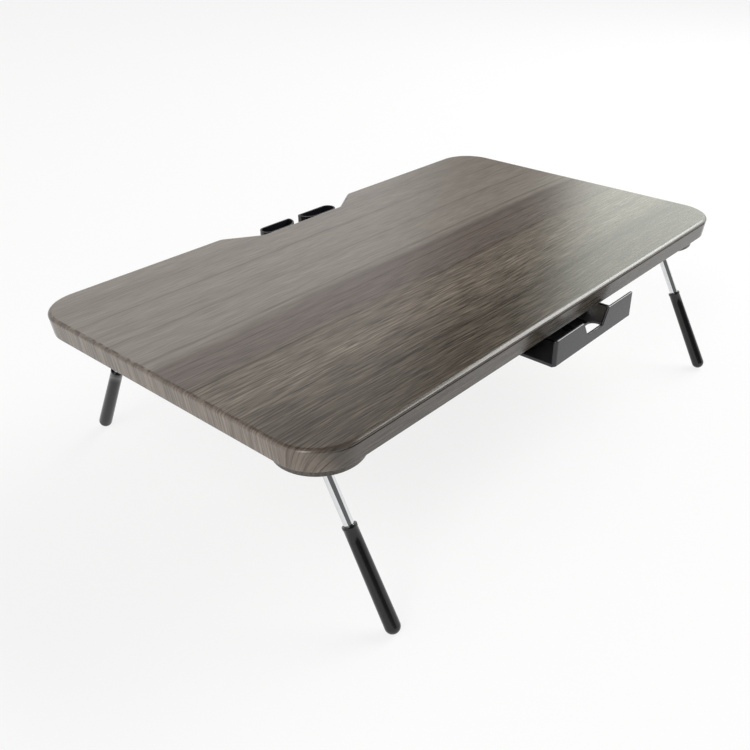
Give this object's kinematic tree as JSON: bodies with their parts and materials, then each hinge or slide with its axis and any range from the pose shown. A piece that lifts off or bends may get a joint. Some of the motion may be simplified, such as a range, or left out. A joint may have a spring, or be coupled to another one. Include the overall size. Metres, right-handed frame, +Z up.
{
  "type": "laptop stand",
  "caption": "Low folding lap table with a rounded board, outward-leaning fold-flat legs, a pull-out tray under the front edge and a twin pocket in a back notch.",
  "frame": {"origin": "on the floor under the middle of the board, at the level of the leg tips", "axes": "+X along the board's length, +Y towards the back edge with the notch, +Z up"},
  "size_m": [0.7, 0.4732, 0.187],
  "materials": {
    "board_film": "satin wood-grain film on a pressed board",
    "mount_film": "satin wood-grain film",
    "sheet_steel": "zinc plated sheet",
    "fastener_steel": "zinc plated",
    "nylon": "natural nylon",
    "rod_chrome": "polished chrome plating",
    "sleeve_plastic": "satin black",
    "black_plastic": "satin black, moulded"
  },
  "bodies": {
    "stand": {"tabletop": "board_film", "leg_mount_front_left": "mount_film", "leg_mount_front_right": "mount_film", "leg_mount_back_left": "mount_film", "leg_mount_back_right": "mount_film", "hinge_bracket_front_left": "sheet_steel", "hinge_bracket_front_right": "sheet_steel", "hinge_bracket_back_left": "sheet_steel", "hinge_bracket_back_right": "sheet_steel", "hinge_pin_front_left": "fastener_steel", "hinge_pin_front_right": "fastener_steel", "hinge_pin_back_left": "fastener_steel", "hinge_pin_back_right": "fastener_steel", "hinge_washers": "nylon", "bracket_screws": "fastener_steel", "rail_left": "sheet_steel", "rail_right": "sheet_steel", "rail_screws": "fastener_steel", "rear_pocket": "black_plastic", "pocket_screws": "fastener_steel"},
    "leg_front_left": {"leg_rod_front_left": "rod_chrome", "leg_sleeve_front_left": "sleeve_plastic"},
    "leg_front_right": {"leg_rod_front_right": "rod_chrome", "leg_sleeve_front_right": "sleeve_plastic"},
    "leg_back_left": {"leg_rod_back_left": "rod_chrome", "leg_sleeve_back_left": "sleeve_plastic"},
    "leg_back_right": {"leg_rod_back_right": "rod_chrome", "leg_sleeve_back_right": "sleeve_plastic"},
    "drawer": {"drawer_tray": "black_plastic"}
  },
  "joints": [
    {"name": "leg_front_left_fold", "type": "hinge", "parent": "stand", "child": "leg_front_left", "pos_m": [-0.3015, -0.146, 0.1565], "axis": [1, 0, 0], "range_deg": [0, 119]},
    {"name": "leg_front_right_fold", "type": "hinge", "parent": "stand", "child": "leg_front_right", "pos_m": [0.2945, -0.146, 0.1565], "axis": [1, 0, 0], "range_deg": [0, 119]},
    {"name": "leg_back_left_fold", "type": "hinge", "parent": "stand", "child": "leg_back_left", "pos_m": [-0.2795, 0.146, 0.1565], "axis": [-1, 0, 0], "range_deg": [0, 119]},
    {"name": "leg_back_right_fold", "type": "hinge", "parent": "stand", "child": "leg_back_right", "pos_m": [0.2725, 0.146, 0.1565], "axis": [-1, 0, 0], "range_deg": [0, 119]},
    {"name": "drawer_slide", "type": "slide", "parent": "stand", "child": "drawer", "axis": [0, -1, 0], "range_m": [-0.012, 0.125]}
  ]
}
